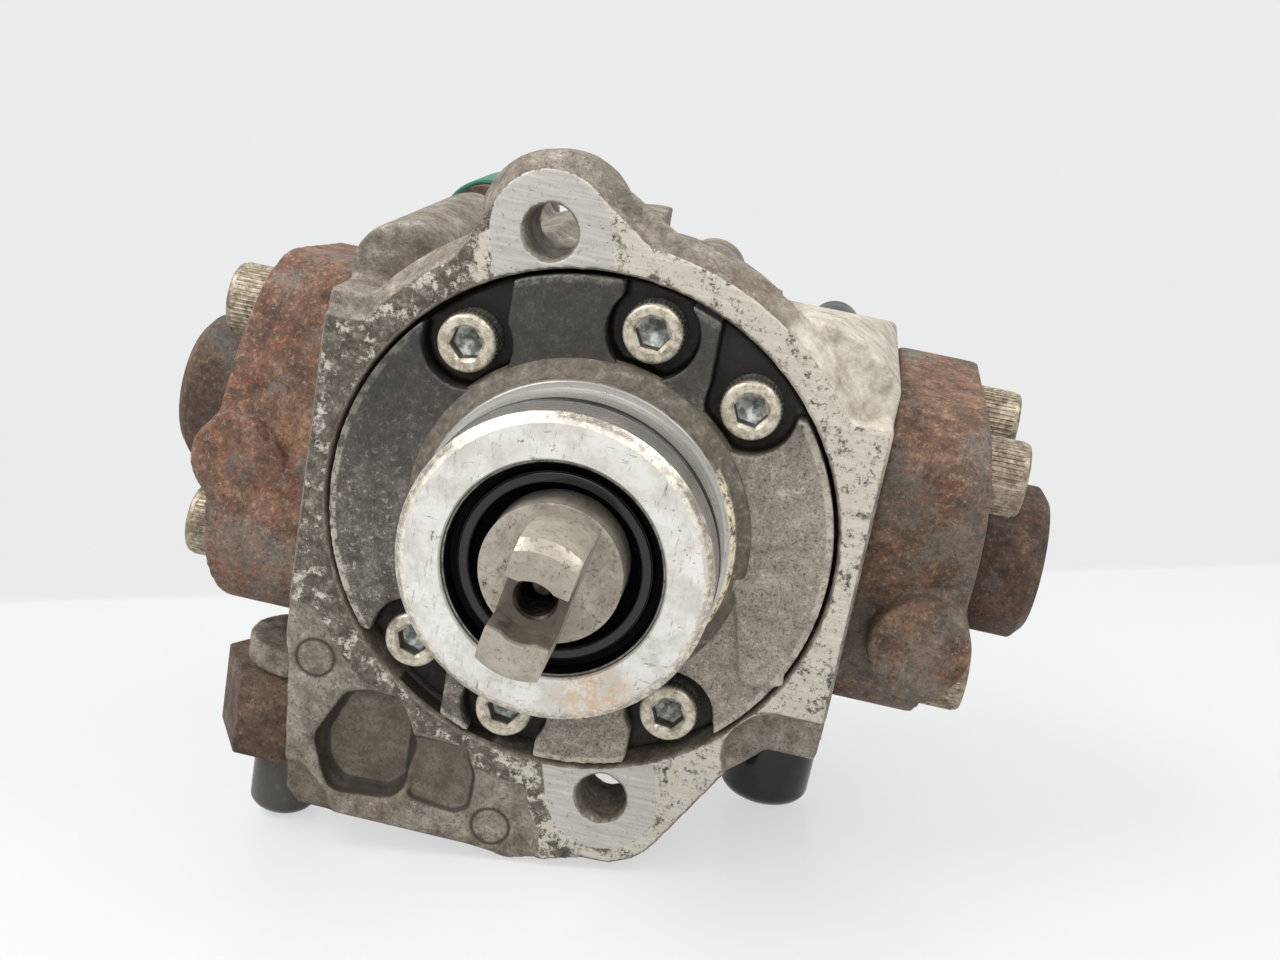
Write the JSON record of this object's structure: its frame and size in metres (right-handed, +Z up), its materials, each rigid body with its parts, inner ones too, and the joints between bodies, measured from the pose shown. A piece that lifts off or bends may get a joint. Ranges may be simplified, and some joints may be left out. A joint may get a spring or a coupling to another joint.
{
  "type": "diesel injection pump",
  "caption": "Radial-piston high-pressure diesel injection pump with flange, drive tang, opposed cylinder heads, feed pump and control valve.",
  "frame": {"origin": "on the drive shaft axis in the plane of the mounting flange face", "axes": "-Y along the shaft out of the drive end, +X towards the right-hand cylinder head seen from the drive end, +Z up"},
  "size_m": [0.1586, 0.15, 0.1346],
  "materials": {
    "cast_aluminium": "matt cast with machined faces",
    "cast_iron": "phosphated dark grey",
    "zinc_steel": "zinc plated",
    "steel": "machined",
    "spring_steel": "drawn wire",
    "bush_metal": "sintered bronze",
    "seal_rubber": "matt",
    "pilot_rubber": "matt",
    "seal_grey": "matt",
    "green_plastic": "moulded",
    "black_plastic": "moulded",
    "filter_mesh": "woven"
  },
  "bodies": {
    "pump": {"control_valve_body": "steel", "control_valve_connector": "green_plastic", "control_valve_screw": "zinc_steel", "control_valve_seal_ring": "seal_rubber", "cover_seal_ring": "seal_rubber", "feed_cover_screws": "zinc_steel", "feed_pump_cover": "cast_aluminium", "feed_pump_plate": "steel", "front_bush": "bush_metal", "front_cover": "cast_aluminium", "front_cover_screws": "zinc_steel", "inlet_cap": "black_plastic", "inlet_filter": "filter_mesh", "inlet_union": "steel", "left_head": "cast_iron", "left_head_plug": "steel", "left_head_screws": "zinc_steel", "left_head_seal_ring": "seal_rubber", "left_outlet_union": "steel", "left_suction_seat": "steel", "pilot_seal_ring": "pilot_rubber", "pump_housing": "cast_aluminium", "rear_bush": "bush_metal", "regulating_plug": "steel", "return_cap": "black_plastic", "return_union": "steel", "right_head": "cast_iron", "right_head_plug": "steel", "right_head_screws": "zinc_steel", "right_head_seal_ring": "seal_rubber", "right_outlet_union": "steel", "right_suction_seat": "steel", "sensor_connector": "black_plastic", "shaft_seal_case": "seal_rubber", "shaft_seal_lip": "seal_grey", "temperature_sensor": "steel"},
    "shaft": {"drive_shaft": "steel", "feed_inner_rotor": "steel"},
    "orbiting_ring": {"cam_ring": "steel", "cam_ring_bush": "bush_metal"},
    "outer_rotor": {"feed_outer_rotor": "steel"},
    "right_plunger": {"right_plunger": "steel", "right_spring_seat": "steel", "right_plunger_spring": "spring_steel"},
    "left_plunger": {"left_plunger": "steel", "left_spring_seat": "steel", "left_plunger_spring": "spring_steel"},
    "right_suction": {"right_suction_valve": "steel", "right_suction_spring": "spring_steel"},
    "left_suction": {"left_suction_valve": "steel", "left_suction_spring": "spring_steel"},
    "right_delivery": {"right_delivery_ball": "steel", "right_delivery_spring": "spring_steel"},
    "left_delivery": {"left_delivery_ball": "steel", "left_delivery_spring": "spring_steel"},
    "regulator": {"regulating_piston": "steel", "regulating_spring": "spring_steel"},
    "spool": {"control_valve_spool": "steel", "control_valve_spring": "spring_steel"}
  },
  "joints": [
    {"name": "shaft_turn", "type": "hinge", "parent": "pump", "child": "shaft", "pos_m": [0, 0, 0], "axis": [0, -1, 0], "continuous": true},
    {"name": "ring_turn", "type": "hinge", "parent": "shaft", "child": "orbiting_ring", "pos_m": [0, 0.035, 0.0035], "axis": [0, -1, 0], "continuous": true},
    {"name": "outer_rotor_turn", "type": "hinge", "parent": "pump", "child": "outer_rotor", "pos_m": [-0.0018, 0.07, 0], "axis": [0, -1, 0], "continuous": true},
    {"name": "right_plunger_stroke", "type": "slide", "parent": "pump", "child": "right_plunger", "axis": [1, 0, 0], "range_m": [-0.0035, 0], "deforming": ["right_plunger_spring"]},
    {"name": "left_plunger_stroke", "type": "slide", "parent": "pump", "child": "left_plunger", "axis": [1, 0, 0], "range_m": [0, 0.0035], "deforming": ["left_plunger_spring"]},
    {"name": "right_suction_lift", "type": "slide", "parent": "pump", "child": "right_suction", "axis": [1, 0, 0], "range_m": [-0.001, 0], "deforming": ["right_suction_spring"]},
    {"name": "left_suction_lift", "type": "slide", "parent": "pump", "child": "left_suction", "axis": [1, 0, 0], "range_m": [0, 0.001], "deforming": ["left_suction_spring"]},
    {"name": "right_delivery_lift", "type": "slide", "parent": "pump", "child": "right_delivery", "axis": [0, 1, 0], "range_m": [0, 0.0008], "deforming": ["right_delivery_spring"]},
    {"name": "left_delivery_lift", "type": "slide", "parent": "pump", "child": "left_delivery", "axis": [0, 1, 0], "range_m": [0, 0.0008], "deforming": ["left_delivery_spring"]},
    {"name": "regulator_travel", "type": "slide", "parent": "pump", "child": "regulator", "axis": [1, 0, 0], "range_m": [0, 0.004], "deforming": ["regulating_spring"]},
    {"name": "spool_travel", "type": "slide", "parent": "pump", "child": "spool", "axis": [0, 1, 0], "range_m": [0, 0.0025], "deforming": ["control_valve_spring"]}
  ],
  "couplings": [
    {"joint": "ring_turn", "follows": "shaft_turn", "ratio": -1},
    {"joint": "outer_rotor_turn", "follows": "shaft_turn", "ratio": 0.8}
  ]
}
